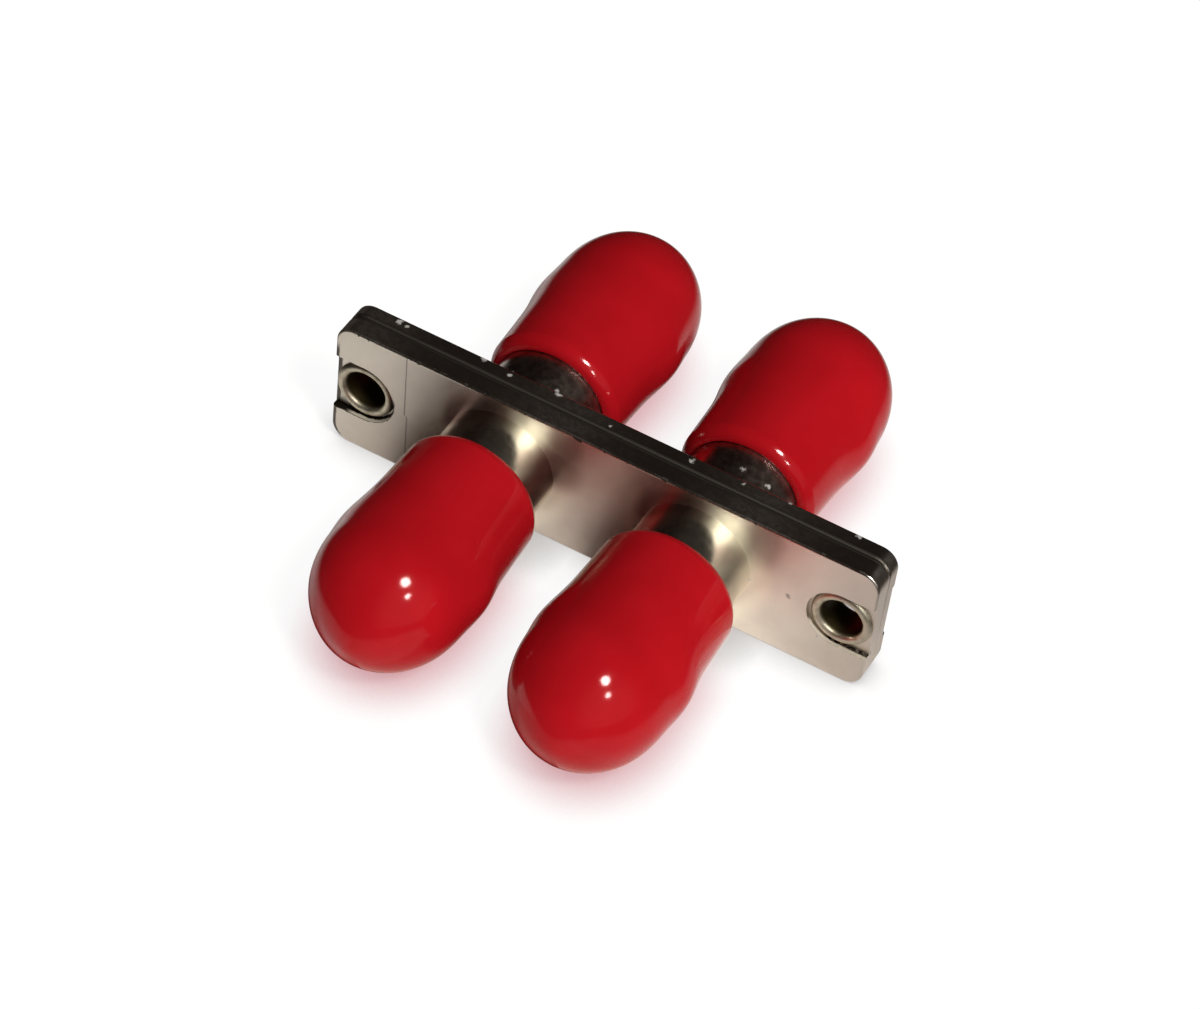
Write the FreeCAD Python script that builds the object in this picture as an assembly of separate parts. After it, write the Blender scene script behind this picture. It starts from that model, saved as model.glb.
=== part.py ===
import FreeCAD
import Part
import math
import os

from FreeCAD import Vector

# Duplex fibre coupler: two cast halves with paired bayonet barrels, back to back on one flange.
# Millimetres. X runs along the flange, Y along the barrels, Z up. The seam between the halves is y = 0.

# Flange
barrel_pitch = 12.7
hole_offset = 9.15
flange_end = 1.95
flange_height = 9.1
front_plate = 1.4
rear_plate = 1.1
flange_corner = 1.15
flange_edge = 0.15

# Barrels, measured from the seam to the mouth
barrel_radius = 3.5
barrel_wall = 1.0
barrel_reach = 14.3
barrel_chamfer = 0.25
lug_radius = 0.95
lug_height = 0.5
lug_setback = 3.4
keyway_width = 1.5
keyway_length = 3.2

# Split alignment sleeves and the stepped bore that holds them
sleeve_bore = 1.25
sleeve_wall = 0.35
sleeve_length = 11.4
sleeve_slit = 0.5
sleeve_lead_in = 0.15
sleeve_play = 0.05
sleeve_end_play = 0.1
stop_wall = 2.5
ferrule_play = 0.2
ferrule_lead_in = 0.6

# Eyelets and their seats
eyelet_bore = 1.3
eyelet_wall = 0.25
eyelet_roll = 0.3
eyelet_play = 0.05
seat_play = 0.15
front_seat_depth = 0.42
rear_seat_depth = 0.35

# Dust caps, pushed over the barrels
cap_mouth = 4.25
cap_grip = 0.06
cap_end_play = 0.1
cap_end_wall = 0.85
cap_core = 1.4
cap_swell = 0.25
cap_shoulder_setback = 1.4
cap_flank_ease = 0.65
cap_nose = 2.4
cap_lip = 0.35
cap_lead_in = 0.1
lug_play = 0.08
channel_cover = 0.22
lug_cover = 0.75
blister_radius = 3.5
blister_blend = 1.0

# Worked out from the sizes above
flange_length = barrel_pitch + 2 * hole_offset + 2 * flange_end
hole_reach = barrel_pitch / 2 + hole_offset
lug_station = barrel_reach - lug_setback
lug_tip = barrel_radius + lug_height
socket_radius = barrel_radius - barrel_wall
sleeve_radius = sleeve_bore + sleeve_wall
cavity_radius = sleeve_radius + sleeve_play
cavity_end = sleeve_length / 2 + sleeve_end_play
socket_floor = cavity_end + stop_wall
ferrule_radius = sleeve_bore + ferrule_play
eyelet_radius = eyelet_bore + eyelet_wall
eyelet_head = eyelet_bore + 2 * eyelet_roll
seat_radius = eyelet_head + seat_play
channel_radius = lug_tip + lug_play
channel_half_width = lug_radius + lug_play
cap_bore = barrel_radius + cap_grip
cap_radius = channel_radius + channel_cover
cap_shoulder = barrel_reach - cap_shoulder_setback
cap_shoulder_radius = cap_radius + cap_swell
cap_flank = cap_shoulder_radius + cap_flank_ease
cap_taper = math.atan2(cap_swell, cap_shoulder - cap_mouth - cap_lip)
flank_r = cap_shoulder_radius - cap_flank * math.cos(cap_taper)
flank_y = cap_shoulder + cap_flank * math.sin(cap_taper)
flank_turn = math.acos(-flank_r / (cap_flank - cap_nose))
nose_y = flank_y + (cap_flank - cap_nose) * math.sin(flank_turn)
cap_tip = nose_y + cap_nose

# How far a cutting shape runs past the face that it cuts
overshoot = 1.0

ORIGIN = Vector(0, 0, 0)
ALONG_X = Vector(1, 0, 0)
ALONG_Y = Vector(0, 1, 0)
QUARTER_TURN = math.pi / 2
HALF_TURN = math.pi


def outline(points):
    """Straight edges from each point of r and y to the next."""
    corners = [Vector(radius, y, 0) for radius, y in points]
    return [Part.LineSegment(start, end).toShape() for start, end in zip(corners, corners[1:])]


def bend(centre, radius, start, end):
    """One arc about a centre of r and y, between two angles from the r axis."""
    angles = [start, (start + end) / 2, end]
    points = [Vector(*centre, 0) + Vector(math.cos(angle), math.sin(angle), 0) * radius for angle in angles]
    return Part.Arc(*points).toShape()


def turned(edges):
    """Solid of revolution about the Y axis from a closed outline in r and y."""
    return Part.Face(Part.Wire(edges)).revolve(ORIGIN, ALONG_Y, 360)


def moved(shape, x):
    """Copy of a shape, carried along the flange."""
    copy = shape.copy()
    copy.translate(Vector(x, 0, 0))
    return copy


def flange_plate(thickness):
    """Plate on the seam with round corners and softened edges, towards +Y."""
    corner = Vector(-flange_length / 2, 0, -flange_height / 2)
    plate = Part.makeBox(flange_length, thickness, flange_height, corner)
    posts = [edge for edge in plate.Edges if edge.BoundBox.YLength > thickness / 2]
    plate = plate.makeFillet(flange_corner, posts)
    rims = [edge for edge in plate.Edges if edge.BoundBox.YLength < thickness / 2]
    return plate.makeFillet(flange_edge, rims)


def barrel(plate):
    """Turned outside of one barrel, rooted half way into the plate and bevelled at its mouth."""
    root = plate / 2
    return turned(outline([
        (0, root),
        (barrel_radius, root),
        (barrel_radius, barrel_reach - barrel_chamfer),
        (barrel_radius - barrel_chamfer, barrel_reach),
        (0, barrel_reach),
        (0, root),
    ]))


def bayonet_lugs():
    """Pair of round lugs on either side of a barrel, their tips turned to one radius."""
    across = lug_tip + overshoot
    pin = Part.makeCylinder(lug_radius, 2 * across, Vector(-across, lug_station, 0), ALONG_X)
    start = Vector(0, lug_station - lug_radius - overshoot, 0)
    tips = Part.makeCylinder(lug_tip, 2 * (lug_radius + overshoot), start, ALONG_Y)
    return pin.common(tips)


def stepped_bore():
    """Room for half a sleeve, the stop that keeps it in, and the socket that takes the plug."""
    return turned(outline([
        (0, -overshoot),
        (cavity_radius, -overshoot),
        (cavity_radius, cavity_end),
        (ferrule_radius, cavity_end),
        (ferrule_radius, socket_floor - ferrule_lead_in),
        (ferrule_radius + ferrule_lead_in, socket_floor),
        (socket_radius, socket_floor),
        (socket_radius, barrel_reach - barrel_chamfer),
        (socket_radius + barrel_chamfer, barrel_reach),
        (socket_radius + barrel_chamfer, barrel_reach + overshoot),
        (0, barrel_reach + overshoot),
        (0, -overshoot),
    ]))


def keyway():
    """Slot through the upper wall of a barrel at its mouth."""
    corner = Vector(-keyway_width / 2, barrel_reach - keyway_length, 0)
    return Part.makeBox(keyway_width, keyway_length + overshoot, barrel_radius + overshoot, corner)


def eyelet_seat(plate, depth):
    """Eyelet hole at the right end, with a U-shaped seat that opens through the end of the plate."""
    floor = plate - depth
    hole_start = Vector(hole_reach, -overshoot, 0)
    hole = Part.makeCylinder(eyelet_radius + eyelet_play, plate + 2 * overshoot, hole_start, ALONG_Y)
    round_end = Part.makeCylinder(seat_radius, depth + overshoot, Vector(hole_reach, floor, 0), ALONG_Y)
    corner = Vector(hole_reach, floor, -seat_radius)
    slot = Part.makeBox(flange_end + overshoot, depth + overshoot, 2 * seat_radius, corner)
    return hole.fuse([round_end, slot])


def housing_half(plate, seat_depth):
    """One cast half towards +Y: plate, two barrels with their lugs, bores, keyways and eyelet seats."""
    places = [-barrel_pitch / 2, barrel_pitch / 2]
    solids = [barrel(plate), bayonet_lugs()]
    half = flange_plate(plate).fuse([moved(solid, x) for solid in solids for x in places])
    cuts = [moved(cut, x) for cut in [stepped_bore(), keyway()] for x in places]
    right_seat = eyelet_seat(plate, seat_depth)
    left_seat = right_seat.mirror(ORIGIN, ALONG_X)
    return half.cut(cuts + [right_seat, left_seat]).removeSplitter()


def split_sleeve():
    """Springy tube for the two ferrules, bevelled inside at both ends and slit along its top."""
    end = sleeve_length / 2
    tube = turned(outline([
        (sleeve_bore, -end + sleeve_lead_in),
        (sleeve_bore + sleeve_lead_in, -end),
        (sleeve_radius, -end),
        (sleeve_radius, end),
        (sleeve_bore + sleeve_lead_in, end),
        (sleeve_bore, end - sleeve_lead_in),
        (sleeve_bore, -end + sleeve_lead_in),
    ]))
    corner = Vector(-sleeve_slit / 2, -end - overshoot, 0)
    length = sleeve_length + 2 * overshoot
    return tube.cut(Part.makeBox(sleeve_slit, length, sleeve_radius + overshoot, corner))


def eyelet():
    """Hollow rivet whose two ends are rolled over onto the floors of their seats."""
    front = front_seat_depth - front_plate
    rear = rear_plate - rear_seat_depth
    crown = eyelet_bore + eyelet_roll
    front_roll = bend((crown, front), eyelet_roll, 0, -HALF_TURN)
    rear_roll = bend((crown, rear), eyelet_roll, HALF_TURN, 0)
    bore = outline([(eyelet_bore, front), (eyelet_bore, rear)])
    outside = outline([
        (eyelet_head, rear),
        (eyelet_radius, rear),
        (eyelet_radius, front),
        (eyelet_head, front),
    ])
    return turned([front_roll] + bore + [rear_roll] + outside)


def cap_outside():
    """Skin of a cap: rounded lip, slight taper, a dome of two tangent arcs, and a blister over each lug."""
    lip = bend((cap_radius - cap_lip, cap_mouth + cap_lip), cap_lip, -QUARTER_TURN, 0)
    mouth = outline([(0, cap_mouth), (cap_radius - cap_lip, cap_mouth)])
    side = outline([(cap_radius, cap_mouth + cap_lip), (cap_shoulder_radius, cap_shoulder)])
    flank = bend((flank_r, flank_y), cap_flank, -cap_taper, flank_turn)
    nose = bend((0, nose_y), cap_nose, flank_turn, QUARTER_TURN)
    axis = outline([(0, cap_tip), (0, cap_mouth)])
    skin = turned(mouth + [lip] + side + [flank, nose] + axis)
    skin.rotate(ORIGIN, ALONG_Y, 90)
    inset = channel_radius + lug_cover - blister_radius
    places = [Vector(-inset, lug_station, 0), Vector(inset, lug_station, 0)]
    skin = skin.fuse([Part.makeSphere(blister_radius, place, ALONG_X) for place in places])
    creases = [edge for edge in skin.Edges if abs(edge.BoundBox.Center.x) > lug_radius]
    return skin.makeFillet(blister_blend, creases)


def dust_cap():
    """Soft cap towards +Y: a tapered-ended bore that grips the barrel, with a channel for each lug."""
    barrel_end = barrel_reach + cap_end_play
    bore = turned(outline([
        (0, cap_mouth - overshoot),
        (cap_bore + cap_lead_in, cap_mouth - overshoot),
        (cap_bore + cap_lead_in, cap_mouth),
        (cap_bore, cap_mouth + cap_lead_in),
        (cap_bore, barrel_end),
        (cap_core, cap_tip - cap_end_wall),
        (0, cap_tip - cap_end_wall),
        (0, cap_mouth - overshoot),
    ]))
    start = cap_mouth - overshoot
    length = lug_station + channel_half_width - start
    ring = Part.makeCylinder(channel_radius, length, Vector(0, start, 0), ALONG_Y)
    corner = Vector(-channel_radius, start, -channel_half_width)
    channels = ring.common(Part.makeBox(2 * channel_radius, length, 2 * channel_half_width, corner))
    return cap_outside().cut(bore.fuse(channels))


rear_half = housing_half(rear_plate, rear_seat_depth)
front_half = housing_half(front_plate, front_seat_depth).mirror(ORIGIN, ALONG_Y)
rear_cap = dust_cap()
front_cap = rear_cap.mirror(ORIGIN, ALONG_Y)

pieces = {"front_housing": front_half, "rear_housing": rear_half}
for side, direction in {"left": -1, "right": 1}.items():
    barrel_x = direction * barrel_pitch / 2
    pieces[side + "_sleeve"] = moved(split_sleeve(), barrel_x)
    pieces[side + "_eyelet"] = moved(eyelet(), direction * hole_reach)
    pieces["front_" + side + "_cap"] = moved(front_cap, barrel_x)
    pieces["rear_" + side + "_cap"] = moved(rear_cap, barrel_x)

os.makedirs("parts", exist_ok=True)
for name, solid in pieces.items():
    solid.exportStep(os.path.join("parts", name + ".step"))
    print(name, solid.ShapeType, len(solid.Solids), solid.isValid(), round(solid.Volume, 2))
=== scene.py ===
"""Looks of a duplex fibre coupler: nickel housings, brass eyelets and red vinyl caps on a pale floor."""

import logging
import math
from dataclasses import dataclass
from enum import Enum
from functools import reduce
from typing import Union

import bpy
import numpy as np
from mathutils import Matrix
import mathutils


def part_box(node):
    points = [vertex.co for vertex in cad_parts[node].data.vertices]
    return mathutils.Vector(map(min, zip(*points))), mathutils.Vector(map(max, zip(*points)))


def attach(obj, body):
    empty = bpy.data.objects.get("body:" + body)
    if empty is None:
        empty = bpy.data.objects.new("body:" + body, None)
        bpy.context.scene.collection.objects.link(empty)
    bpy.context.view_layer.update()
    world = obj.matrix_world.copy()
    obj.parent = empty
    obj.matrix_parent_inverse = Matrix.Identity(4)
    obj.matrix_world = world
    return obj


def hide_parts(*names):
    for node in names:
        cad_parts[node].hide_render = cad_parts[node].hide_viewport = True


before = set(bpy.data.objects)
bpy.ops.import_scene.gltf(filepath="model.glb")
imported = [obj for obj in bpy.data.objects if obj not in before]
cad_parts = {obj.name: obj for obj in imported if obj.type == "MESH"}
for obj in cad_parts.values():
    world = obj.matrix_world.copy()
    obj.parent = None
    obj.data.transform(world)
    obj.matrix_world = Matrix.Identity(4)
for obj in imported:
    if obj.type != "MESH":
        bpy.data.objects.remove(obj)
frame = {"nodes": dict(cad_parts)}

MM = 0.001
FULL_TURN = 2 * math.pi

# Sizes of the coupler that several classes share, in millimetres
PITCH = 12.7
EYELET_X = 15.5
HALF_HEIGHT = 4.55

Colour = tuple[float, float, float]
Vector = tuple[float, float, float]
Socket = bpy.types.NodeSocket
Value = Union[Socket, float]

# Start and end of a smooth change: alone, with its full strength, or with the results before and after
Span = tuple[float, float]
Fade = tuple[float, float, float]
Climb = tuple[float, float, float, float]

WHITE: Colour = (1.0, 1.0, 1.0)

# Where cloudy noise goes from one tone to the other
MIDTONES: Span = (0.3, 0.7)

# Keeps a held X off the place where its remainder over the pitch jumps, in millimetres
HOLD = 0.01

log = logging.getLogger("coupler")


class End(Enum):
    """End of the barrels that a piece sits on, as the sign of its Y."""

    FRONT = -1
    REAR = 1


class Side(Enum):
    """Side of the flange that a piece sits on, as the sign of its X."""

    LEFT = -1
    RIGHT = 1


@dataclass(frozen=True)
class Grain:
    """Cloudy noise: features per millimetre, number of finer octaves, and factor on each axis."""

    scale: float
    detail: float
    stretch: Vector = (1.0, 1.0, 1.0)


def shifted(span: Span, by: float) -> Span:
    """Span moved along by a distance."""
    return span[0] + by, span[1] + by


class Tree:
    """Node tree with a short call for each kind of node and sum that the looks use."""

    def __init__(self, tree: bpy.types.NodeTree) -> None:
        """Empties the tree.

        Args:
            tree: Node tree of a material or of a world.
        """
        self.tree = tree
        self.tree.nodes.clear()

    def node(self, kind: str, **settings: object) -> bpy.types.Node:
        """Adds a node.

        Args:
            kind: Blender's name of the node type.
            settings: Properties to set on the node.

        Returns:
            The new node.
        """
        made = self.tree.nodes.new(kind)
        for key, value in settings.items():
            setattr(made, key, value)
        return made

    def link(self, source: object, target: Socket) -> None:
        """Feeds an input from a socket, a number or a colour.

        Args:
            source: Output socket, number, or sequence of numbers.
            target: Input socket that takes it.
        """
        if isinstance(source, Socket):
            self.tree.links.new(source, target)
        elif isinstance(source, (int, float)):
            target.default_value = source
        else:
            values = tuple(source)
            opaque = target.type == "RGBA" and len(values) == 3
            target.default_value = values + (1.0,) if opaque else values

    def step(self, kind: str, first: Value, second: Value = 0.0) -> Socket:
        """One step of arithmetic.

        Args:
            kind: Blender's name of the operation.
            first: Number or socket.
            second: Number or socket.

        Returns:
            Number socket.
        """
        made = self.node("ShaderNodeMath", operation=kind)
        self.link(first, made.inputs[0])
        self.link(second, made.inputs[1])
        return made.outputs[0]

    def plus(self, *values: Value) -> Socket:
        """Sum of all the values."""
        return reduce(lambda first, second: self.step("ADD", first, second), values)

    def times(self, *values: Value) -> Socket:
        """Product of all the values."""
        return reduce(lambda first, second: self.step("MULTIPLY", first, second), values)

    def most(self, *values: Value) -> Socket:
        """Highest of all the values."""
        return reduce(lambda first, second: self.step("MAXIMUM", first, second), values)

    def least(self, *values: Value) -> Socket:
        """Lowest of all the values."""
        return reduce(lambda first, second: self.step("MINIMUM", first, second), values)

    def minus(self, first: Value, second: Value) -> Socket:
        """First value less the second."""
        return self.step("SUBTRACT", first, second)

    def size(self, value: Value) -> Socket:
        """Value without its sign."""
        return self.step("ABSOLUTE", value)

    def reach(self, first: Value, second: Value) -> Socket:
        """Length of the diagonal of two sides."""
        return self.step("SQRT", self.plus(self.times(first, first), self.times(second, second)))

    def ramp(self, value: Value, start: float, end: float, low: float = 0.0, high: float = 1.0) -> Socket:
        """Smooth climb from low to high while a value goes from start to end.

        Args:
            value: Number or socket.
            start: Value at which the climb starts.
            end: Value at which it ends.
            low: Result before the start.
            high: Result after the end.

        Returns:
            Number socket.
        """
        climb = self.node("ShaderNodeMapRange", interpolation_type="SMOOTHSTEP")
        for number, name in ((start, "From Min"), (end, "From Max"), (low, "To Min"), (high, "To Max")):
            climb.inputs[name].default_value = number
        self.link(value, climb.inputs["Value"])
        return climb.outputs["Result"]

    def fall(self, value: Value, start: float, end: float, high: float = 1.0) -> Socket:
        """Smooth fall from high to 0 while a value goes from start to end."""
        return self.ramp(value, start, end, high, 0.0)


class Shader(Tree):
    """Node tree of one material: a principled shader, and the point of the piece in millimetres."""

    def __init__(self, name: str) -> None:
        """Makes the material, wires its shader to its output and splits the point into X, Y and Z.

        Args:
            name: Name of the material.
        """
        self.material = bpy.data.materials.new(name)
        self.material.use_nodes = True
        super().__init__(self.material.node_tree)
        self.surface = self.node("ShaderNodeBsdfPrincipled")
        output = self.node("ShaderNodeOutputMaterial")
        self.link(self.surface.outputs["BSDF"], output.inputs["Surface"])
        self.spot = self.place()
        split = self.node("ShaderNodeSeparateXYZ")
        self.link(self.spot, split.inputs[0])
        self.x, self.y, self.z = split.outputs

    def place(self, stretch: Vector = (1.0, 1.0, 1.0)) -> Socket:
        """Point on the piece in millimetres.

        Args:
            stretch: Factor on each axis, for patterns that run along one.

        Returns:
            Vector socket with the object's own coordinates.
        """
        spot = self.node("ShaderNodeTexCoord")
        scaled = self.node("ShaderNodeMapping", vector_type="POINT")
        scaled.inputs["Scale"].default_value = [factor / MM for factor in stretch]
        self.link(spot.outputs["Object"], scaled.inputs["Vector"])
        return scaled.outputs["Vector"]

    def noise(self, grain: Grain) -> Socket:
        """Cloudy noise from 0 to 1.

        Args:
            grain: Scale, detail and stretch of the noise.

        Returns:
            Number socket.
        """
        cloud = self.node("ShaderNodeTexNoise")
        self.link(self.place(grain.stretch), cloud.inputs["Vector"])
        cloud.inputs["Scale"].default_value = grain.scale
        cloud.inputs["Detail"].default_value = grain.detail
        return cloud.outputs["Fac"]

    def mix(self, share: Value, first: object, second: object) -> Socket:
        """Colour between two colours.

        Args:
            share: 0 for the first colour, 1 for the second.
            first: Colour or socket.
            second: Colour or socket.

        Returns:
            Colour socket.
        """
        blend = self.node("ShaderNodeMix", data_type="RGBA")
        self.link(share, blend.inputs[0])
        self.link(first, blend.inputs[6])
        self.link(second, blend.inputs[7])
        return blend.outputs[2]

    def bump(self, height: Socket, depth: float, under: object = None) -> Socket:
        """Relief from a height.

        Args:
            height: Number socket from 0 to 1.
            depth: Height of the relief in millimetres.
            under: Normal socket of a coarser relief below, if any.

        Returns:
            Normal socket.
        """
        relief = self.node("ShaderNodeBump")
        relief.inputs["Strength"].default_value = 1.0
        relief.inputs["Distance"].default_value = depth * MM
        self.link(height, relief.inputs["Height"])
        if under is not None:
            self.link(under, relief.inputs["Normal"])
        return relief.outputs["Normal"]

    def wear(self, colour: object, roughness: Value, normal: Socket) -> None:
        """Feeds the principled shader.

        Args:
            colour: Colour or socket.
            roughness: Number or socket.
            normal: Normal socket.
        """
        self.link(colour, self.surface.inputs["Base Color"])
        self.link(roughness, self.surface.inputs["Roughness"])
        self.link(normal, self.surface.inputs["Normal"])


class HousingShader(Shader):
    """Shader of the housings, with X from the nearest barrel's axis and a noise that frays marks."""

    def __init__(self, name: str, fraying: Grain) -> None:
        """Finds the point among the barrels.

        X from the nearest barrel's axis is the remainder of X over the pitch, less half a pitch. Further
        out than one pitch from the middle, it stays what it is there.

        Args:
            name: Name of the material.
            fraying: Noise that frays marks.
        """
        super().__init__(name)
        held = self.least(self.most(self.x, HOLD - PITCH), PITCH - HOLD)
        self.across = self.minus(self.step("FLOORED_MODULO", held, PITCH), PITCH / 2)
        self.ragged = self.noise(fraying)


@dataclass(frozen=True)
class NickelPlate:
    """Satin nickel on zinc, with painted brown shade behind and painted sheen and dark reflections by the
    front barrels, a hairline, chips, dark seat lines, pale flecks and a painted glint.
    """

    bright: Colour = (0.76, 0.70, 0.62)
    dull: Colour = (0.68, 0.62, 0.55)
    # Painted sheen on and round the front barrels
    painted_sheen: Colour = (0.90, 0.85, 0.72)
    # Dark of the marks, also used for painted shade down the left edge and in the seam
    mark_and_shade_colour: Colour = (0.03, 0.024, 0.018)
    # Painted shade: brown of the rear half, for the dark reflections there
    brown: Colour = (0.27, 0.21, 0.185)
    # Painted dark reflections by the front barrels
    dark_reflection_brown: Colour = (0.42, 0.31, 0.27)
    worn: Colour = (0.50, 0.45, 0.37)
    lint_and_glint: Colour = (0.42, 0.43, 0.43)

    # Sizes of the casting
    front_face: float = -1.4
    rear_face: float = 1.1
    top: float = HALF_HEIGHT
    end: float = 17.45
    corner: float = 1.15
    seat_radius: float = 2.05

    # Widths over which one zone goes over to the next, from the edge of the zone
    middle: Span = (-1.0, 1.0)
    root: Span = (-0.008, -0.003)
    face_depth: Span = (0.02, 0.1)
    mark_depth: Span = (0.1, 0.25)
    rear_blend: Span = (0.0, 0.2)
    top_edge: Span = (-0.15, -0.02)

    # Noises, and the relief that two of them give
    clouds: Grain = Grain(0.35, 3.0)
    fraying: Grain = Grain(4.5, 3.0)
    rear_grain: Grain = Grain(1.8, 4.0)
    rear_tones: Climb = (0.4, 0.62, 0.7, 1.0)
    chip_grain: Grain = Grain(1.7, 3.0)
    gloss_grain: Grain = Grain(3.0, 2.0)
    gloss_tones: Climb = (0.2, 0.8, -0.03, 0.03)
    fine_grain: Grain = Grain(16.0, 3.0)
    cloud_depth: float = 0.006
    fine_depth: float = 0.0004

    # Roughness
    satin: float = 0.36
    satin_swing: float = 0.06
    barrel_rough: float = 0.22
    rear_smoother: float = -0.08
    top_smoother: float = -0.14
    marks_and_shade_rough: float = 0.6

    # Painted sheen and painted dark reflections round the front barrels, from each barrel's axis
    sheen_radius: Span = (4.0, 5.4)
    reflection_radius: Span = (3.9, 5.2)
    reflection_left: Span = (-4.4, -3.4)
    reflection_right: Span = (-0.9, 0.2)
    reflection_on_face: float = 0.8
    reflection_foot: Span = (0.0, 1.2)
    reflection_along: Span = (-7.0, -4.5)
    dark_spot: tuple[float, float] = (3.6, 1.4)
    dark_spot_fade: Fade = (0.8, 2.2, 0.85)
    streak: tuple[float, float] = (4.0, 3.6)
    streak_fade: Fade = (0.6, 1.5, 0.6)
    streak_squat: float = 0.5

    # Hairline and stain on the front face
    hairline_x: float = -12.65
    hairline_fade: Fade = (0.015, 0.06, 0.6)
    hairline_lean: float = -0.02
    hairline_jog: Climb = (-0.3, -0.1, 0.1, -0.06)
    stain: tuple[float, float] = (12.28, 0.1)
    stain_fade: Fade = (0.3, 0.5, 0.55)
    stain_fray: float = 0.5

    # Chips in the upper edge; painted dark reflection down the left edge and painted shade in the seam
    # along the top
    chip_bite: Climb = (0.52, 0.68, 0.2, -0.06)
    chip_fade: Fade = (0.14, 0.2, 0.9)
    line_fade: Fade = (0.26, 0.36, 0.85)
    line_fray: float = 0.1
    line_start: Span = (0.3, 0.8)
    line_head: Span = (2.6, 3.3)
    line_back: Span = (-0.9, -0.6)
    seam_fade: Fade = (0.16, 0.3, 0.9)
    seam_edge: Span = (-0.4, -0.2)

    # Dark line and wear along the walls of the eyelets' seats
    seat_line: Span = (0.13, 0.19)
    seat_fray: Span = (0.16, 0.28)
    seat_start: Span = (-0.9, -0.5)
    seat_low: Span = (-1.9, -0.9)
    seat_shallow: Span = (0.6, 0.7)
    wear_fray: float = 0.2
    wear_fade: Fade = (0.27, 0.33, 0.9)
    wear_wall: Span = (0.02, 0.06)
    wear_low: Span = (-1.2, -0.8)
    wear_start: Span = (-16.7, -16.1)

    # Lint as X, Y, Z and radius of each fleck; the last fleck is a painted glint on the right seat's edge
    fleck_fray: Climb = (0.3, 0.7, -0.05, 0.12)
    fleck_fade: Fade = (-0.1, 0.04, 0.9)
    flecks: tuple[tuple[float, float, float, float], ...] = (
        (-14.6, 0.8, 4.55, 0.22), (-14.1, 0.7, 4.55, 0.12), (-9.1, 1.0, 4.5, 0.24), (-7.3, 0.7, 4.55, 0.12),
        (-7.9, 2.0, 3.2, 0.3), (-5.0, 2.3, 3.2, 0.14), (-4.2, 1.0, 4.5, 0.26), (-0.6, 0.5, 4.55, 0.1),
        (4.5, 0.7, 4.55, 0.2), (6.8, 2.7, 3.5, 0.2), (8.4, 2.9, 2.9, 0.22), (7.7, 0.8, 4.55, 0.12),
        (10.6, 1.0, 4.5, 0.16), (14.9, 0.9, 4.55, 0.2), (9.82, -1.4, -0.03, 0.12),
        # Painted glint on the lower edge of the right seat
        (14.36, -1.4, -1.95, 0.14),
    )

    def material(self) -> bpy.types.Material:
        """Builds the nickel.

        Returns:
            Material for both housings.
        """
        at = HousingShader("satin_nickel", self.fraying)
        clouds = at.noise(self.clouds)
        colour = at.mix(at.ramp(clouds, *MIDTONES), self.dull, self.bright)
        # Painted sheen: brighter colour on and round the front barrels
        colour = at.mix(self._painted_sheen(at), colour, self.painted_sheen)
        # Painted dark reflections by the front barrels, in brown
        colour = at.mix(self._dark_reflection(at), colour, self.dark_reflection_brown)
        # Painted shade: the rear half turns brown in grainy patches
        grains = at.ramp(at.noise(self.rear_grain), *self.rear_tones)
        behind = at.ramp(at.y, *shifted(self.rear_blend, self.rear_face))
        colour = at.mix(at.times(grains, behind), colour, self.brown)
        marks = at.most(self._hairline(at), self._stain(at), self._chips(at))
        marks = at.times(marks, self._in_front(at, self.mark_depth))
        # Dark marks, with painted dark reflection down the left edge, painted shade in the seam, and the
        # seat lines
        marks_and_shade = at.most(marks, self._edges(at), self._seat_dark_line(at))
        colour = at.mix(marks_and_shade, colour, self.mark_and_shade_colour)
        worn = self._worn_seat(at)
        colour = at.mix(worn, colour, self.worn)
        # Pale flecks, and one painted glint
        lint_and_glint = self._lint_and_glint(at)
        colour = at.mix(lint_and_glint, colour, self.lint_and_glint)
        at.link(at.minus(1.0, at.most(lint_and_glint, worn)), at.surface.inputs["Metallic"])
        gloss = at.ramp(at.noise(self.gloss_grain), *self.gloss_tones)
        roughness = at.plus(self._satin(at), gloss)
        roughness = at.most(roughness, at.times(marks_and_shade, self.marks_and_shade_rough))
        relief = at.bump(clouds, self.cloud_depth)
        fine = at.bump(at.noise(self.fine_grain), self.fine_depth, relief)
        at.wear(colour, roughness, fine)
        return at.material

    def _in_front(self, at: HousingShader, depth: Span) -> Socket:
        """1 on the front face and barrels, falling to 0 over a depth behind the face."""
        return at.fall(at.y, *shifted(depth, self.front_face))

    def _flat(self, at: HousingShader) -> Socket:
        """0 on the front barrels, 1 on the flat face at their roots and behind it."""
        return at.ramp(at.y, *shifted(self.root, self.front_face))

    def _satin(self, at: HousingShader) -> Socket:
        """Roughness: satin on the flat face, smoother on the front barrels, behind and along the top.

        The satin is uneven. It follows a sine along the flange, one wave per barrel, coarsest to its right.

        Args:
            at: Shader of the housing.

        Returns:
            Number socket.
        """
        wave = at.step("SINE", at.times(at.plus(at.x, PITCH / 2), FULL_TURN / PITCH))
        satin = at.plus(at.times(wave, self.satin_swing), self.satin)
        flat = self._flat(at)
        barrels = at.times(at.minus(1.0, flat), self.barrel_rough)
        behind = at.ramp(at.y, *shifted(self.rear_blend, self.rear_face), 0.0, self.rear_smoother)
        high = at.ramp(at.z, *shifted(self.top_edge, self.top), 0.0, self.top_smoother)
        return at.plus(at.times(satin, flat), barrels, behind, high)

    def _painted_sheen(self, at: HousingShader) -> Socket:
        """Painted sheen: brighter colour on the front barrels and, fading out, on the face just round them.
        """
        near = at.fall(at.reach(at.across, at.z), *self.sheen_radius)
        return at.times(near, self._in_front(at, self.face_depth))

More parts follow.
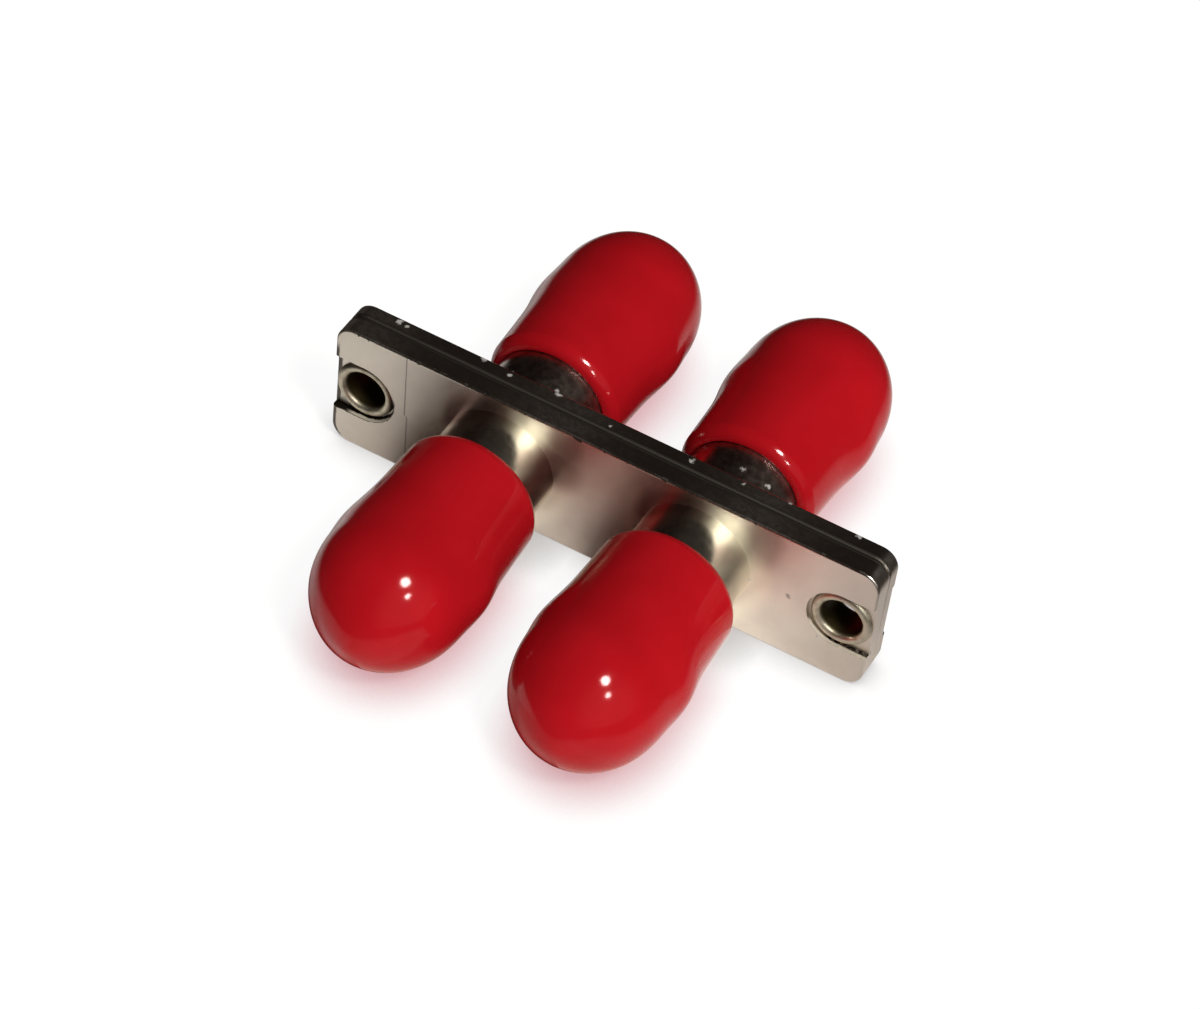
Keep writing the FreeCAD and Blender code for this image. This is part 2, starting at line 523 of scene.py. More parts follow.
    def _dark_reflection(self, at: HousingShader) -> Socket:
        """Painted dark reflections by the front barrels, in brown.

        One is on the upper left of each barrel and the face round it, where it reaches a little further to
        the right. A tall streak is on the face to the right of each barrel, and a round dark spot to the
        right of the left one.

        Args:
            at: Shader of the housing.

        Returns:
            Number socket, 1 in the painted reflection.
        """
        flat = self._flat(at)
        left = at.times(
            at.fall(at.minus(at.across, at.times(flat, self.reflection_on_face)), *self.reflection_right),
            at.fall(at.reach(at.across, at.z), *self.reflection_radius),
            at.ramp(at.across, *self.reflection_left),
            at.ramp(at.z, *self.reflection_foot),
        )
        from_dark_spot = at.reach(at.minus(at.across, self.dark_spot[0]), at.minus(at.z, self.dark_spot[1]))
        dark_spot = at.times(at.fall(from_dark_spot, *self.dark_spot_fade), at.fall(at.x, *self.middle))
        tall = at.times(at.minus(at.z, self.streak[1]), self.streak_squat)
        from_streak = at.reach(at.minus(at.across, self.streak[0]), tall)
        streak = at.times(at.fall(from_streak, *self.streak_fade), flat)
        front = at.times(self._in_front(at, self.face_depth), at.ramp(at.y, *self.reflection_along))
        return at.times(at.most(left, dark_spot, streak), front)

    def _hairline(self, at: HousingShader) -> Socket:
        """Thin upright line on the front face that leans a little and jogs half way down.

        Args:
            at: Shader of the housing.

        Returns:
            Number socket, strongest on the line.
        """
        jog = at.ramp(at.z, *self.hairline_jog)
        shift = at.plus(jog, at.times(at.z, self.hairline_lean))
        away = at.minus(at.minus(at.x, self.hairline_x), shift)
        return at.fall(at.size(away), *self.hairline_fade)

    def _stain(self, at: HousingShader) -> Socket:
        """Small dull stain with a ragged edge beside the right eyelet."""
        away = at.reach(at.minus(at.x, self.stain[0]), at.minus(at.z, self.stain[1]))
        return at.fall(at.plus(away, at.times(at.ragged, self.stain_fray)), *self.stain_fade)

    def _chips(self, at: HousingShader) -> Socket:
        """Small dark chips out of the upper edge of the front face, wherever a coarse noise is high."""
        bite = at.ramp(at.noise(self.chip_grain), *self.chip_bite)
        return at.fall(at.plus(at.minus(self.top, at.z), bite), *self.chip_fade)

    def _edges(self, at: HousingShader) -> Socket:
        """Painted dark reflection down the left edge of the front half, and painted shade in the seam on
        top.

        The line follows the distance in from the rounded outline, which is the corner radius less the
        distance from the corner's centre. It fades out under the upper corner.

        Args:
            at: Shader of the housing.

        Returns:
            Number socket, strongest in the dark.
        """
        past = at.minus(at.times(at.x, -1.0), self.end - self.corner)
        above = at.minus(at.size(at.z), self.top - self.corner)
        out = at.reach(at.most(past, 0.0), at.most(above, 0.0))
        frayed = at.plus(at.minus(self.corner, out), at.times(at.ragged, self.line_fray))
        line = at.times(
            at.fall(frayed, *self.line_fade),
            at.ramp(past, *self.line_start),
            at.fall(at.z, *self.line_head),
            at.fall(at.y, *self.line_back),
        )
        along_top = at.ramp(at.z, *shifted(self.seam_edge, self.top))
        return at.most(line, at.times(at.fall(at.size(at.y), *self.seam_fade), along_top))

    def _seat_wall(self, at: HousingShader) -> Socket:
        """Distance from the wall of the nearest seat: round the eyelet inwards of it, straight outwards."""
        inwards = at.least(at.minus(at.size(at.x), EYELET_X), 0.0)
        return at.size(at.minus(at.reach(inwards, at.z), self.seat_radius))

    def _seat_dark_line(self, at: HousingShader) -> Socket:
        """Dark line along the lower wall of each eyelet seat, which on the left also goes round the eyelet.

        Args:
            at: Shader of the housing.

        Returns:
            Number socket, 1 on the line.
        """
        fray = at.times(at.ragged, at.ramp(at.x, *self.middle, *self.seat_fray))
        line = at.fall(at.plus(self._seat_wall(at), fray), *self.seat_line)
        start = at.ramp(at.x, *shifted(self.seat_start, EYELET_X))
        start = at.most(start, at.fall(at.x, *self.middle))
        lowered = at.plus(at.z, at.ramp(at.x, *self.middle, self.seat_low[0], 0.0))
        low = at.fall(lowered, *self.seat_low)
        return at.times(line, start, low, at.ramp(at.size(at.y), *self.seat_shallow))

    def _worn_seat(self, at: HousingShader) -> Socket:
        """Pale wear along the front half of each seat's lower wall, with a thin dark line behind it.

        Args:
            at: Shader of the housing.

        Returns:
            Number socket, strongest on the wear.
        """
        start, end, strength = self.wear_fade
        frayed = at.plus(at.y, at.times(at.ragged, self.wear_fray))
        return at.times(
            at.fall(frayed, self.front_face + start, self.front_face + end, strength),
            at.fall(self._seat_wall(at), *self.wear_wall),
            at.fall(at.z, *self.wear_low),
            at.ramp(at.x, *self.wear_start),
        )

    def _lint_and_glint(self, at: HousingShader) -> Socket:
        """Stray pale flecks, each a ball about its place that the noise frays. The last one is a painted
        glint.

        Args:
            at: Shader of the housing.

        Returns:
            Number socket, strongest on a fleck.
        """
        nearest = 1.0
        for *place, radius in self.flecks:
            away = at.node("ShaderNodeVectorMath", operation="DISTANCE")
            at.link(at.spot, away.inputs[0])
            at.link(place, away.inputs[1])
            nearest = at.least(nearest, at.minus(away.outputs["Value"], radius))
        fray = at.ramp(at.ragged, *self.fleck_fray)
        return at.fall(at.plus(nearest, fray), *self.fleck_fade)


@dataclass(frozen=True)
class RolledBrass:
    """Dull pale brass of the eyelets, tarnished in patches, with painted shade nearly black inside the
    bore.
    """

    bright: Colour = (0.60, 0.55, 0.44)
    tarnish: Colour = (0.44, 0.38, 0.27)
    # Painted shade inside the bore
    painted_bore_shade: Colour = (0.07, 0.052, 0.022)
    bore: float = 1.3
    bore_edge: Span = (0.01, 0.08)
    middle: float = -0.1
    mouth_fade: Climb = (0.75, 1.25, 1.0, 0.35)
    patches: Grain = Grain(2.2, 4.0)
    patch_tones: Span = (0.45, 0.75)
    marks: Grain = Grain(3.5, 2.0, (1.0, 6.0, 1.0))
    mark_depth: float = 0.006
    rough: Span = (0.38, 0.48)
    bore_rougher: float = 0.1

    def material(self) -> bpy.types.Material:
        """Builds the brass.

        Returns:
            Material for both eyelets.
        """
        shader = Shader("rolled_brass")
        patches = shader.noise(self.patches)
        marks = shader.noise(self.marks)
        colour = shader.mix(shader.ramp(patches, *self.patch_tones), self.bright, self.tarnish)
        radius = shader.reach(shader.minus(shader.size(shader.x), EYELET_X), shader.z)
        inside = shader.fall(radius, *shifted(self.bore_edge, self.bore))
        deep = shader.ramp(shader.size(shader.minus(shader.y, self.middle)), *self.mouth_fade)
        inside = shader.times(inside, deep)
        # Painted shade inside the bore, darkest away from its mouths
        colour = shader.mix(inside, colour, self.painted_bore_shade)
        roughness = shader.ramp(marks, *MIDTONES, *self.rough)
        roughness = shader.plus(roughness, shader.times(inside, self.bore_rougher))
        shader.surface.inputs["Metallic"].default_value = 1.0
        shader.wear(colour, roughness, shader.bump(marks, self.mark_depth))
        return shader.material


@dataclass(frozen=True)
class SpringBronze:
    """Phosphor bronze of the split sleeves, drawn lengthwise."""

    bright: Colour = (0.62, 0.40, 0.22)
    dark: Colour = (0.44, 0.26, 0.13)
    drawn: Grain = Grain(2.0, 2.0, (8.0, 0.4, 8.0))
    drawn_depth: float = 0.004
    rough: Span = (0.22, 0.32)

    def material(self) -> bpy.types.Material:
        """Builds the bronze.

        Returns:
            Material for both sleeves.
        """
        shader = Shader("spring_bronze")
        drawn = shader.noise(self.drawn)
        colour = shader.mix(shader.ramp(drawn, *MIDTONES), self.dark, self.bright)
        shader.surface.inputs["Metallic"].default_value = 1.0
        roughness = shader.ramp(drawn, *MIDTONES, *self.rough)
        shader.wear(colour, roughness, shader.bump(drawn, self.drawn_depth))
        return shader.material


@dataclass(frozen=True)
class DippedVinyl:
    """Glossy soft vinyl of the dust caps, even in colour, with a very faint dipped ripple."""

    red: Colour = (0.42, 0.0065, 0.0118)
    deep: Colour = (0.385, 0.0055, 0.0098)
    gloss_tint: Colour = (1.0, 0.7, 0.72)
    ior: float = 1.36
    clouds: Grain = Grain(0.28, 2.0)
    ripple: Grain = Grain(0.5, 1.0)
    ripple_depth: float = 0.01
    peel: Grain = Grain(5.0, 2.0)
    peel_depth: float = 0.0005
    haze: Grain = Grain(1.6, 3.0)
    haze_tones: Climb = (0.25, 0.75, 0.09, 0.12)

    def material(self) -> bpy.types.Material:
        """Builds the vinyl.

        Returns:
            Material for all the caps.
        """
        shader = Shader("dipped_vinyl")
        clouds = shader.noise(self.clouds)
        colour = shader.mix(shader.ramp(clouds, *MIDTONES), self.deep, self.red)
        roughness = shader.ramp(shader.noise(self.haze), *self.haze_tones)
        relief = shader.bump(shader.noise(self.ripple), self.ripple_depth)
        shader.surface.inputs["IOR"].default_value = self.ior
        shader.surface.inputs["Specular Tint"].default_value = (*self.gloss_tint, 1.0)
        shader.wear(colour, roughness, shader.bump(shader.noise(self.peel), self.peel_depth, relief))
        return shader.material


@dataclass
class Surface:
    """Closed sheet of points in millimetres, as an array of rows, columns and 3.

    It is wrapped round along its columns. Its first row is one point, and so is its last.
    """

    points: np.ndarray

    def object(self, name: str, material: bpy.types.Material) -> bpy.types.Object:
        """Turns the grid into a smooth mesh object.

        Quads join each row to the next, with column j next to column j + 1 and the last next to the first.
        The two end rows are one point each, joined to their neighbours by fans.

        Args:
            name: Name of the object.
            material: Its finish.

        Returns:
            The new object, at the origin.
        """
        rows, columns = self.points.shape[:2]
        inner = self.points[1:-1].reshape(-1, 3)
        verts = np.concatenate([self.points[:1, 0], inner, self.points[-1:, 0]]) * MM
        column = np.arange(columns)
        after = np.roll(column, -1)
        start = 1 + np.arange(rows - 3)[:, None] * columns
        above = start + columns
        quads = np.stack([start + column, start + after, above + after, above + column], axis=-1)
        last_row = 1 + (rows - 3) * columns
        last = len(verts) - 1
        first_fan = np.stack([np.zeros(columns, int), 1 + after, 1 + column], axis=-1)
        last_fan = np.stack([np.full(columns, last), last_row + column, last_row + after], axis=-1)
        faces = first_fan.tolist() + quads.reshape(-1, 4).tolist() + last_fan.tolist()
        mesh = bpy.data.meshes.new(name)
        mesh.from_pydata(verts.tolist(), [], faces)
        mesh.polygons.foreach_set("use_smooth", np.ones(len(faces), dtype=bool))
        mesh.materials.append(material)
        mesh.update()
        made = bpy.data.objects.new(name, mesh)
        bpy.context.collection.objects.link(made)
        return made


@dataclass
class DustCap:
    """One soft cap: a cup with a rolled lip, a slight flare, a dome, and a swelling over each lug."""

    end: End
    side: Side
    bore: float = 3.56
    lip_radius: float = 4.3
    lip_bore: float = 3.51
    lip_inside: float = 0.08
    lip_outside: float = 0.76
    grip_length: float = 1.5
    edge_walk: tuple[float, ...] = (0.0, 0.6, 0.98, 1.13)
    edge_slopes: tuple[float, ...] = (90.0, 34.0, 20.0, 0.0)
    shoulder: float = 12.9
    shoulder_radius: float = 4.55
    flank: float = 5.2
    nose: float = 2.4
    end_wall: float = 0.85
    core: float = 1.4
    barrel_end: float = 14.4

    # Swelling over each lug and the pocket inside it: height, length, turn in radians, steepness
    lug_station: float = 10.9
    swelling: tuple[float, float, float, int] = (0.36, 1.75, 0.5, 2)
    pocket: tuple[float, float, float, int] = (0.52, 1.15, 0.32, 6)

    # Ripples: height, waves round the cap, share of the cap's own phase, twist along it
    ripples: tuple[tuple[float, int, int, float], ...] = ((0.012, 2, 1, 0.35), (0.01, 3, -2, -0.5))
    end_phase: float = 1.7
    side_phase: float = 0.9
    ripple_fade: float = 3.0

    # Points of the grid
    columns: int = 192
    floor_rows: int = 14
    bore_rows: int = 56
    turn_rows: int = 9
    edge_rows: int = 33
    side_rows: int = 64
    flank_rows: int = 28
    nose_rows: int = 16

    @property
    def name(self) -> str:
        """Name of the CAD node that this cap stands for."""
        return f"{self.end.name.lower()}_{self.side.name.lower()}_cap"

    def __post_init__(self) -> None:
        """Reads the cap's axis, mouth and tip from its solid."""
        low, high = (np.array(corner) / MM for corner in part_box(self.name))
        self.barrel_x = (low[0] + high[0]) / 2
        self.mouth, self.tip = sorted((abs(low[1]), abs(high[1])))

    def dome(self) -> tuple[np.ndarray, np.ndarray]:
        """Outer end as two tangent arcs: a wide flank that leaves the side, and a nose centred on the axis.

        The flank's centre lies square to the side at the shoulder. The nose's centre lies where the line
        from the flank's centre, at the angle that both arcs share, meets the axis.

        Returns:
            Radius and distance from the seam, one value per row.
        """
        side_length = self.shoulder - self.mouth - self.lip_outside
        taper = math.atan2(self.shoulder_radius - self.lip_radius, side_length)
        flank_r = self.shoulder_radius - self.flank * math.cos(taper)
        flank_y = self.shoulder + self.flank * math.sin(taper)
        shared = math.acos(-flank_r / (self.flank - self.nose))
        nose_y = flank_y + (self.flank - self.nose) * math.sin(shared)
        wide = np.linspace(-taper, shared, self.flank_rows)[1:]
        tight = np.linspace(shared, math.pi / 2, self.nose_rows)[1:]
        radius = np.concatenate([flank_r + self.flank * np.cos(wide), self.nose * np.cos(tight)])
        along = np.concatenate([flank_y + self.flank * np.sin(wide), nose_y + self.nose * np.sin(tight)])
        return radius, along + self.tip - along[-1]

    def profile(self) -> tuple[np.ndarray, np.ndarray, np.ndarray]:
        """Outline from the inner pole, out round the lip, to the outer pole.

        The inside is a blunt cone and a straight bore that narrows to grip the barrel. The lip is a quarter
        circle inside and a rolled edge outside, which meet at the mouth.

        Returns:
            Radius, distance from the seam, and 0 on the inside to 1 on the outside, one value per row.
        """
        inner_tip = self.tip - self.end_wall
        climb = np.linspace(0, 1, self.floor_rows)
        floor = (self.core * climb, np.full_like(climb, inner_tip))
        widening = self.core + (self.bore - self.core) * climb[1:]
        cone = (widening, inner_tip + (self.barrel_end - inner_tip) * climb[1:])
        bore_start = self.mouth + self.lip_inside
        inner_y = np.linspace(self.barrel_end, bore_start, self.bore_rows)[1:]
        grip = np.clip(1 - (inner_y - bore_start) / self.grip_length, 0, 1)
        inner_side = (self.bore + (self.lip_bore - self.bore) * grip, inner_y)
        quarter = np.linspace(0, math.pi / 2, self.turn_rows)[1:]
        crest = self.lip_bore + self.lip_inside
        turn_y = bore_start - self.lip_inside * np.sin(quarter)
        turn_in = (crest - self.lip_inside * np.cos(quarter), turn_y)
        lip = tuple(np.concatenate(pair) for pair in zip(turn_in, self.rolled_edge(crest)))
        outer_y = np.linspace(self.mouth + self.lip_outside, self.shoulder, self.side_rows)[1:]
        flare = (outer_y - outer_y[0]) / (outer_y[-1] - outer_y[0])
        outer_side = (self.lip_radius + (self.shoulder_radius - self.lip_radius) * flare, outer_y)
        parts = [floor, cone, inner_side, lip, outer_side, self.dome()]
        radius = np.concatenate([part[0] for part in parts])
        along = np.concatenate([part[1] for part in parts])
        radius[0] = radius[-1] = 0.0
        inside = len(floor[0]) + len(cone[0]) + len(inner_side[0])
        beyond = len(outer_side[0]) + len(parts[-1][0])
        outside = np.concatenate([np.zeros(inside), np.linspace(0, 1, len(lip[0])), np.ones(beyond)])
        return radius, along, outside

    def rolled_edge(self, crest: float) -> tuple[np.ndarray, np.ndarray]:
        """Outer edge of the lip, from the mouth to the flaring side.

        The edge is walked by its own length. Its slope turns quickly off the mouth, more slowly over the
        middle, and quickly again into the side. The walk is then scaled to the lip's width and depth.

        Args:
            crest: Radius at the mouth, where the edge starts.

        Returns:
            Radius and distance from the seam, one value per row.
        """
        walked = np.linspace(0, self.edge_walk[-1], self.edge_rows)
        slope = np.radians(np.interp(walked, self.edge_walk, self.edge_slopes))
        middle = (slope[1:] + slope[:-1]) / 2
        out, up = np.cumsum(np.sin(middle)), np.cumsum(np.cos(middle))
        radius = crest + (self.lip_radius - crest) * out / out[-1]
        return radius, self.mouth + self.lip_outside * up / up[-1]

    def grid(self) -> np.ndarray:
        """Points of the cap.

        Each point is its profile radius plus three small terms, turned about the barrel's axis. A swelling
        over each lug falls off as a bell along the barrel and round it. A pocket inside it, a narrower and
        steeper bell, makes room for the lug. A slow ripple, of two and three waves round the cap, fades out
        at the lip and the tip.

        Returns:
            Array of rows, columns and 3, in millimetres.
        """
        radius, along, outside = (row[:, None] for row in self.profile())
        angle = np.linspace(0, FULL_TURN, self.columns, endpoint=False)[None, :]
        from_lug = np.abs(np.arcsin(np.sin(angle)))
        swell, pocket = (
            height * np.exp(-((along - self.lug_station) / length) ** power - (from_lug / turn) ** power)
            for height, length, turn, power in (self.swelling, self.pocket)
        )
        phase = self.end_phase * self.end.value + self.side_phase * self.side.value
        ripple = sum(
            height * np.sin(waves * angle + share * phase + twist * along)
            for height, waves, share, twist in self.ripples
        )
        from_mouth, from_tip = (
            np.clip(gap / self.ripple_fade, 0, 1) for gap in (along - self.mouth, self.tip - along)
        )
        grown = radius + outside * (swell + from_mouth * from_tip * ripple) + (1 - outside) * pocket
        grown = np.where(radius > 0, grown, 0.0)
        x = self.barrel_x + grown * np.cos(angle)
        y = self.end.value * (along + 0 * angle)
        z = self.end.value * grown * np.sin(angle)
        return np.stack([x, y, z], axis=-1)

    def build(self, finish: bpy.types.Material) -> bpy.types.Object:
        """Makes the cap, puts it on its body and hides the plain solid.

        Args:
            finish: Material of the cap.

        Returns:
            The cap's object.
        """
        made = Surface(self.grid()).object(self.name + "_skin", finish)
        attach(made, self.name.replace("_cap", "_dust_cap"))
        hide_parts(self.name)
        return made


@dataclass
class Coupler:
    """The metal core: two housings back to back, two sleeves inside and two eyelets through the ends."""

    nodes: dict[str, bpy.types.Object]

    def dress(self, names: tuple[str, ...], finish: bpy.types.Material) -> None:
        """Gives CAD nodes a finish.

        Args:
            names: Nodes to dress.
            finish: Material that replaces their own.
        """
        for name in names:
            slots = self.nodes[name].data.materials
            slots.clear()
            slots.append(finish)
            log.info("dressed %s in %s", name, finish.name)

    def build(self) -> None:
        """Dresses every metal piece."""
        self.dress(("front_housing", "rear_housing"), NickelPlate().material())
        self.dress(("left_sleeve", "right_sleeve"), SpringBronze().material())
        self.dress(("left_eyelet", "right_eyelet"), RolledBrass().material())


def unit(vector: object) -> np.ndarray:
    """Vector of length 1 along the given one."""
    return np.array(vector) / np.linalg.norm(vector)


def stand(
    name: str, data: object, right: np.ndarray, back: np.ndarray, place: np.ndarray
) -> bpy.types.Object:
    """Stands a lamp or camera in the scene, which looks away from its back.

    Args:
        name: Name of the object.
        data: Light or camera that it holds.
        right: Unit vector to its right.
        back: Unit vector to its back, square to the right.
        place: Where it stands, in millimetres.

    Returns:
        The new object.
    """
    made = bpy.data.objects.new(name, data)
    bpy.context.collection.objects.link(made)
    rows = np.eye(4)
    rows[:3, 0] = right
    rows[:3, 1] = np.cross(back, right)
    rows[:3, 2] = back
    rows[:3, 3] = place * MM
    made.matrix_world = Matrix(rows.tolist())
    return made


@dataclass(frozen=True)
class Lamp:
    """Round lamp that looks at the coupler."""

    name: str
    towards: Vector
    diameter: float
    radiance: float
    colour: Colour = (1.0, 0.98, 0.93)
    distance: float = 600.0

    def build(self) -> bpy.types.Object:
        """Hangs the lamp. Its power is its radiance times pi times its area.

        Returns:
            The lamp's object.
        """
        light = bpy.data.lights.new(self.name, "AREA")
        light.shape = "DISK"
        light.size = self.diameter * MM
        light.energy = self.radiance * math.pi * math.pi * (self.diameter * MM / 2) ** 2
        light.color = self.colour
        back = unit(self.towards)
        return stand(self.name, light, unit(np.cross((0, 1, 0), back)), back, back * self.distance)


@dataclass(frozen=True)
class Room:
    """Dim brown room round the coupler, with a broad pale wall in front and to the right."""

    dark: float = 0.014
    front: float = 0.004
    front_towards: Vector = (0.0, -1.0, 0.0)
    front_span: Span = (-0.2, 0.6)
    wall: float = 0.45
    wall_towards: Vector = (0.75, -0.5, 0.43)
    wall_span: Span = (0.65, 1.0)
    brown: Colour = (1.0, 0.78, 0.68)
    warm_white: Colour = (1.0, 0.98, 0.92)

    def build(self) -> bpy.types.World:
        """Makes the world: two levels of brown and one of warm white, by the direction that a ray looks in.

        The eye sees plain white instead.

        Returns:
            The new world.
        """
        world = bpy.data.worlds.new("room")
        bpy.context.scene.world = world
        world.use_nodes = True
        tree = Tree(world.node_tree)
        look = tree.node("ShaderNodeTexCoord").outputs["Generated"]
        levels = []
        for towards, span, level in (
            (self.front_towards, self.front_span, self.front),
            (self.wall_towards, self.wall_span, self.wall),
        ):
            turn = tree.node("ShaderNodeVectorMath", operation="DOT_PRODUCT")
            tree.link(look, turn.inputs[0])
            tree.link(towards, turn.inputs[1])
            levels.append(tree.ramp(turn.outputs["Value"], *span, 0.0, level))
        lifted = tree.plus(levels[0], self.dark)
        lights = []
        for colour, level in ((self.brown, lifted), (self.warm_white, levels[1]), (WHITE, 1.0)):
            light = tree.node("ShaderNodeBackground")
            tree.link(colour, light.inputs["Color"])
            tree.link(level, light.inputs["Strength"])
            lights.append(light.outputs["Background"])
        glow = tree.node("ShaderNodeAddShader")
        tree.link(lights[0], glow.inputs[0])
        tree.link(lights[1], glow.inputs[1])
        seen = tree.node("ShaderNodeMixShader")
        tree.link(tree.node("ShaderNodeLightPath").outputs["Is Camera Ray"], seen.inputs[0])
        tree.link(glow.outputs["Shader"], seen.inputs[1])
        tree.link(lights[2], seen.inputs[2])
        out = tree.node("ShaderNodeOutputWorld")
        tree.link(seen.outputs["Shader"], out.inputs["Surface"])
        return world


@dataclass(frozen=True)
class WhiteFloor:
    """Matt white floor with a share of its own white, a painted contact shadow round the coupler, and
    painted shadows for mirrors.
    """

    white: float = 0.9
    matt: float = 0.1
    rough: float = 0.9
    seen: float = 0.95
    bounce: float = 0.35
    # Painted contact shadow: pink by the caps, grey by the flange
    contact_shadow: Colour = (0.60, 0.28, 0.31)
    grey_contact_shadow: Colour = (0.42, 0.40, 0.39)
    shade: Colour = (0.08, 0.022, 0.018)
    lit: Colour = (0.80, 0.60, 0.56)
    dark: Colour = (0.02, 0.015, 0.012)

    # Painted contact shadow, and the painted shadow behind the flange
    shade_reach: float = 3.5
    shade_samples: int = 8
    shade_tones: Span = (0.1, 0.95)
    by_caps: Span = (3.0, 7.0)
    behind_start: Span = (0.0, 1.5)
    behind_fade: Fade = (2.5, 8.0, 0.92)
    behind_ends: Span = (12.5, 17.0)

    # Floor in mirrors
    shadow_fade: Climb = (-1.0, 10.0, 1.0, 0.1)
    past_tip: Span = (16.0, 19.0)
    right_dimmer: Climb = (6.35, 16.51, 1.0, 0.55)
    pink_start: Span = (-8.89, -6.35)
    pink_end: Span = (9.525, 12.065)
    pink_front: Span = (-6.8, -4.0)
    half_length: float = 19.0
    half_width: float = 24.0
    middle: float = -4.0
    fade: Span = (0.0, 12.0)

    def material(self) -> bpy.types.Material:
        """Builds the floor's white: one look for the eye, one for mirrors and one for the light it returns.

        Returns:
            The floor's material.
        """
        shader = Shader("white_floor")
        sockets = shader.surface.inputs
        sockets["Roughness"].default_value = self.rough
        sockets["Specular IOR Level"].default_value = 0.0
        rays = shader.node("ShaderNodeLightPath").outputs
        mirrored = shader.most(rays["Is Glossy Ray"], rays["Is Transmission Ray"])
        colour = shader.mix(rays["Is Camera Ray"], (self.white,) * 3, (self.matt,) * 3)
        shader.link(shader.mix(mirrored, colour, self._mirrored(shader)), sockets["Base Color"])
        shade = shader.node("ShaderNodeAmbientOcclusion", samples=self.shade_samples)
        shade.inputs["Distance"].default_value = self.shade_reach * MM
        open_sky = shade.outputs["AO"]
        shader.link(self._seen(shader, open_sky), sockets["Emission Color"])
        bounced = shader.times(rays["Is Diffuse Ray"], open_sky, self.bounce)
        own = shader.plus(shader.times(rays["Is Camera Ray"], self.seen), bounced)
        shader.link(own, sockets["Emission Strength"])
        return shader.material

    def _seen(self, shader: Shader, open_sky: Socket) -> Socket:
        """Colour of the floor's own white.

        It has a painted contact shadow where the coupler hides the sky, pink by the caps and grey by the
        flange. A soft painted shadow lies along the back of the flange.

        Args:
            shader: Shader of the floor.
            open_sky: Share of the sky that the point sees.

        Returns:
            Colour socket.
        """
        contact_shadow = shader.mix(shader.ramp(shader.size(shader.y), *self.by_caps), self.grey_contact_shadow, self.contact_shadow)
        glow = shader.mix(shader.ramp(open_sky, *self.shade_tones), contact_shadow, WHITE)
        behind = shader.times(
            shader.ramp(shader.y, *self.behind_start),
            shader.fall(shader.y, *self.behind_fade),
            shader.fall(shader.size(shader.x), *self.behind_ends),
        )
        return shader.mix(behind, glow, self.dark)

    def _mirrored(self, shader: Shader) -> Socket:
        """Colour of the floor in mirrors.

        The painted shadow deepens from the axis of one cap to the next cap on its right, starting one pitch
        to the left of the left cap. Past the right cap there is none, only a dimmer white. The white is
        pinker beside the front caps, with painted red light from them, and ends a little way outside the
        coupler.

        Args:
            shader: Shader of the floor.

        Returns:
            Colour socket.
        """
        x, y, half = shader.x, shader.y, PITCH / 2
        held = shader.least(shader.most(x, HOLD - 3 * half), HOLD + half)
        from_axis = shader.step("FLOORED_MODULO", shader.plus(held, half), PITCH)
        past_tip = shader.ramp(shader.size(y), *self.past_tip)
        open_share = shader.most(shader.ramp(from_axis, *self.shadow_fade), past_tip)
        open_share = shader.times(open_share, shader.ramp(x, *self.right_dimmer))
        pink = shader.times(
            shader.ramp(x, *self.pink_start),
            shader.fall(x, *self.pink_end),
            shader.fall(y, *self.pink_front),
        )
        lit = shader.mix(open_share, self.shade, shader.mix(pink, WHITE, self.lit))
        past_end = shader.minus(shader.size(x), self.half_length)
        past_side = shader.minus(shader.size(shader.minus(y, self.middle)), self.half_width)
        out = shader.reach(shader.most(past_end, 0.0), shader.most(past_side, 0.0))
        return shader.mix(shader.ramp(out, *self.fade), lit, self.dark)


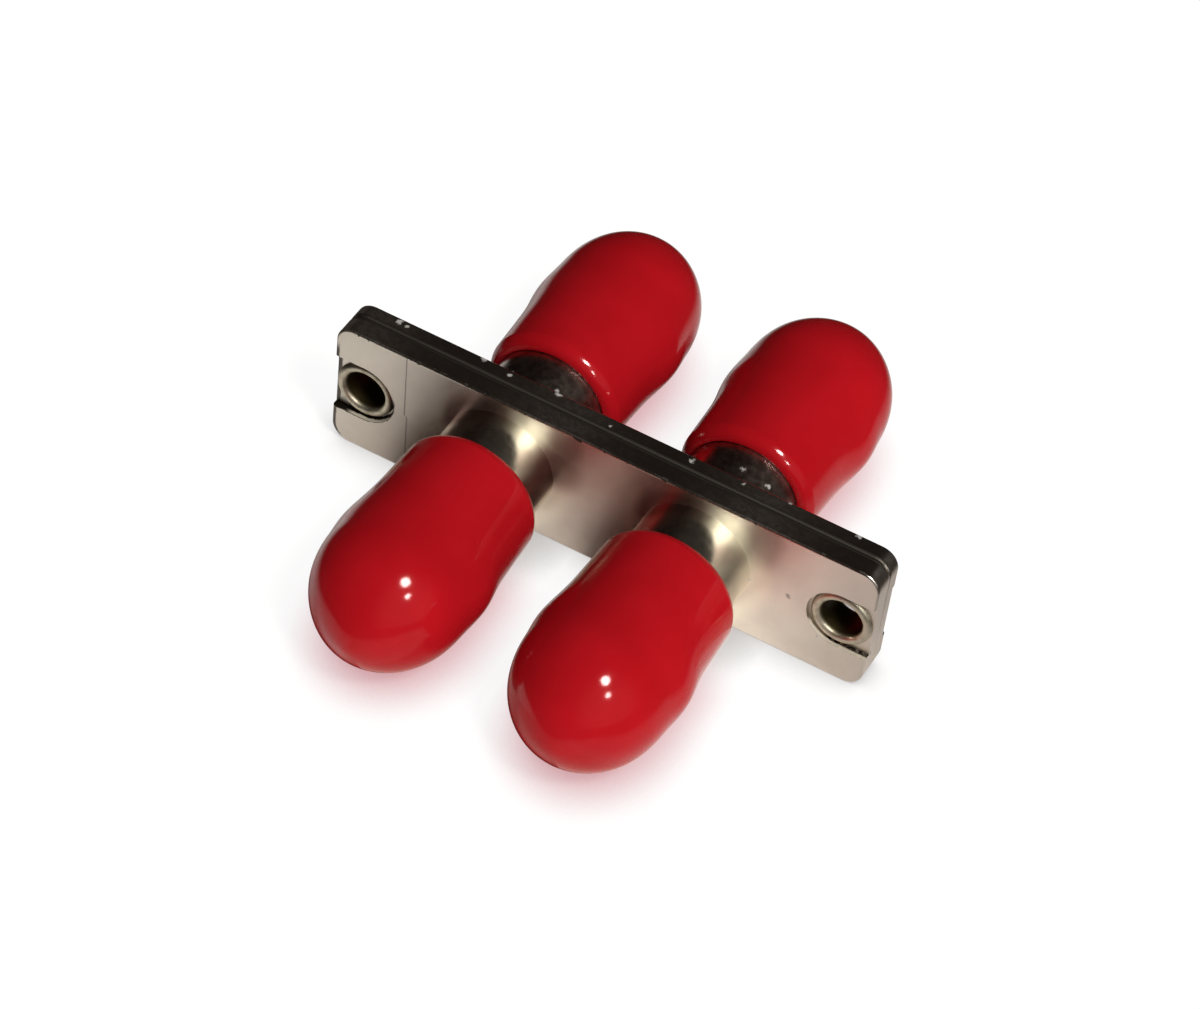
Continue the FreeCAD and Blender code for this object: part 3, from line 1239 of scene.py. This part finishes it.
@dataclass(frozen=True)
class PhotoCamera:
    """Camera where the photograph was taken from, aimed at the middle of the coupler and a little askew."""

    eye: Vector = (62.375, -141.273, 167.753)
    aim: Vector = (-0.086, -0.738, -0.585)
    roll: float = 7.447
    sensor: float = 36.0
    lens: float = 120.664
    nearest: float = 10.0
    farthest: float = 20000.0

    def build(self) -> bpy.types.Object:
        """Sets the camera.

        Its back points from the aim to the eye. Its right starts level and turns about the back by
        the roll.

        Returns:
            The camera's object.
        """
        glass = bpy.data.cameras.new("camera")
        glass.sensor_fit = "HORIZONTAL"
        glass.sensor_width = self.sensor
        glass.lens = self.lens
        glass.clip_start = self.nearest * MM
        glass.clip_end = self.farthest * MM
        back = unit(np.array(self.eye) - np.array(self.aim))
        level = unit(np.cross((0, 0, 1), back))
        turn = math.radians(self.roll)
        right = math.cos(turn) * level + math.sin(turn) * np.cross(back, level)
        made = stand("camera", glass, right, back, np.array(self.eye))
        bpy.context.scene.camera = made
        return made


@dataclass
class Studio:
    """Pale floor, dim room, two ceiling lamps, and the camera."""

    floor_level: float = -HALF_HEIGHT
    floor_depth: float = 20.0
    rings: tuple[float, ...] = (0.0, 60.0, 200.0, 700.0, 2000.0)
    floor_sides: int = 96
    lamps: tuple[Lamp, ...] = (
        Lamp("large_lamp", (0.475, -0.232, 0.849), 126.0, 70.0),
        Lamp("small_lamp", (0.668, -0.389, 0.634), 70.0, 66.0),
    )

    def floor(self) -> bpy.types.Object:
        """Flat round floor: rings of growing radius at one level, closed by a flat underside.

        Returns:
            The floor's object.
        """
        radius = np.array([*self.rings, self.rings[-1], 0.0])[:, None]
        level = np.full_like(radius, self.floor_level)
        level[len(self.rings):] -= self.floor_depth
        angle = np.linspace(0, FULL_TURN, self.floor_sides, endpoint=False)[None, :]
        points = np.stack([radius * np.cos(angle), -radius * np.sin(angle), level + 0 * angle], axis=-1)
        made = Surface(points).object("floor", WhiteFloor().material())
        made.data.polygons.foreach_set("use_smooth", np.zeros(len(made.data.polygons), dtype=bool))
        return made

    def build(self) -> None:
        """Sets the floor, the room, the camera and the lamps."""
        bpy.context.scene.view_settings.view_transform = "Standard"
        self.floor()
        Room().build()
        PhotoCamera().build()
        for lamp in self.lamps:
            lamp.build()
            log.info("hung %s", lamp.name)


def main() -> None:
    """Builds the stage, the metal core and the caps, in that order."""
    logging.basicConfig(level=logging.INFO)
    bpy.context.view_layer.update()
    Studio().build()
    Coupler(frame["nodes"]).build()
    vinyl = DippedVinyl().material()
    for end in End:
        for side in Side:
            log.info("made %s", DustCap(end, side).build(vinyl).name)


if __name__ == "__main__":
    main()
